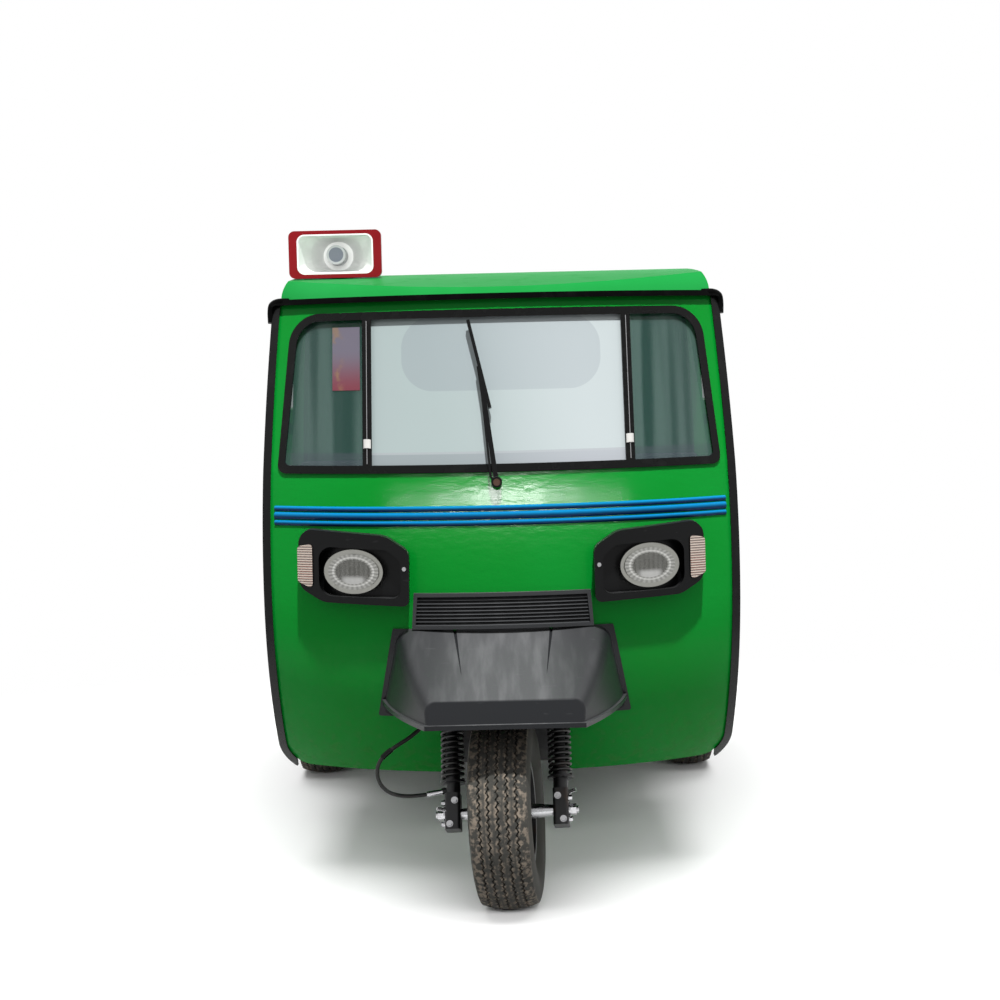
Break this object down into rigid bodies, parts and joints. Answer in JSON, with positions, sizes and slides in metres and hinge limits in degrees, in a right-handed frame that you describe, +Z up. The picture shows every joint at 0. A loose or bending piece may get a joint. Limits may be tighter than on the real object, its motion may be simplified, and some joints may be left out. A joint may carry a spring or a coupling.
{
  "type": "electric three-wheeled refuse carrier",
  "caption": "Electric three-wheeled refuse carrier with an open-sided cab, raked front fork, roof horn and a tipping load box with a top-hung tailgate.",
  "frame": {"origin": "on the ground under the middle of the part's bounding box", "axes": "+Z up, the vehicle faces -Y, +X is its left side"},
  "size_m": [1.4792, 3.037, 1.8656],
  "materials": {
    "green_paint": "satin",
    "black_rubber": "matte",
    "black_plastic": "satin",
    "clear_glass": "gloss",
    "lamp_glass": "gloss",
    "blue_trim": "gloss",
    "reflector": "polished",
    "horn_red": "gloss",
    "horn_white": "gloss",
    "black_metal": "satin",
    "dash": "matte",
    "seat_vinyl": "matte",
    "battery": "matte",
    "steel": "satin",
    "red_lens": "gloss",
    "tyre": "matte",
    "rim_paint": "satin"
  },
  "bodies": {
    "body": {"front_panel": "green_paint", "edge_beading": "black_rubber", "windscreen_seal": "black_rubber", "windscreen_glass": "clear_glass", "blue_trim": "blue_trim", "headlamp_bezels": "black_plastic", "headlamp_reflectors": "reflector", "headlamp_lenses": "lamp_glass", "indicator_lenses": "lamp_glass", "step_grille": "black_plastic", "front_mudguard": "black_plastic", "wiper": "black_metal", "roof_panel": "green_paint", "roof_gutter": "black_rubber", "horn_shell": "horn_red", "horn_bell": "horn_white", "horn_bracket": "black_metal", "cab_floor": "green_paint", "wheel_housing": "black_metal", "rear_bulkhead": "green_paint", "rear_window": "clear_glass", "dashboard": "dash", "seat_base": "black_metal", "battery_pack": "battery", "seat_cushion": "seat_vinyl", "seat_backrest": "seat_vinyl", "chassis_frame": "black_metal", "cross_members": "black_metal", "steering_head": "black_metal", "ram_bracket": "black_metal", "leaf_springs": "black_metal", "rear_axle": "black_metal", "rear_mudguards": "black_plastic", "rear_bumper": "black_metal", "tail_lamps": "red_lens"},
    "steering": {"steering_fork": "black_metal", "fork_springs": "steel", "front_axle": "steel", "handlebar": "black_metal", "handlebar_grips": "black_rubber", "brake_hose": "black_rubber"},
    "front_wheel": {"front_tyre": "tyre", "front_rim": "rim_paint"},
    "rear_wheel_left": {"rear_tyre_left": "tyre", "rear_rim_left": "rim_paint"},
    "rear_wheel_right": {"rear_tyre_right": "tyre", "rear_rim_right": "rim_paint"},
    "bed": {"bed_box": "green_paint"},
    "tailgate": {"tailgate": "green_paint"},
    "ram_barrel": {"ram_barrel": "black_metal"},
    "ram_rod": {"ram_rod": "steel"}
  },
  "joints": [
    {"name": "steer", "type": "hinge", "parent": "body", "child": "steering", "pos_m": [0, -1.251, 0.258], "axis": [0, 0.4067, 0.9135], "range_deg": [-26, 38]},
    {"name": "front_wheel_spin", "type": "hinge", "parent": "steering", "child": "front_wheel", "pos_m": [0, -1.251, 0.258], "axis": [0.9945, -0.0955, 0.0425], "continuous": true},
    {"name": "rear_wheel_left_spin", "type": "hinge", "parent": "body", "child": "rear_wheel_left", "pos_m": [0.656, 0.749, 0.258], "axis": [1, 0, 0], "continuous": true},
    {"name": "rear_wheel_right_spin", "type": "hinge", "parent": "body", "child": "rear_wheel_right", "pos_m": [-0.656, 0.749, 0.258], "axis": [1, 0, 0], "continuous": true},
    {"name": "bed_tip", "type": "hinge", "parent": "body", "child": "bed", "pos_m": [0, 1.369, 0.525], "axis": [-1, 0, 0], "range_deg": [0, 50]},
    {"name": "tailgate_swing", "type": "hinge", "parent": "bed", "child": "tailgate", "pos_m": [0, 1.464, 1.345], "axis": [1, 0, 0], "range_deg": [0, 100]},
    {"name": "ram_pivot", "type": "hinge", "parent": "body", "child": "ram_barrel", "pos_m": [0, 0.189, 0.452], "axis": [1, 0, 0], "range_deg": [0, 27.06]},
    {"name": "ram_stroke", "type": "slide", "parent": "ram_barrel", "child": "ram_rod", "axis": [0, 0.993, 0.1178], "range_m": [0, 0.3624]}
  ],
  "couplings": [
    {"joint": "ram_pivot", "follows": "bed_tip", "ratio": 0.52922},
    {"joint": "ram_stroke", "follows": "bed_tip", "m_per_rad": 0.41296}
  ]
}
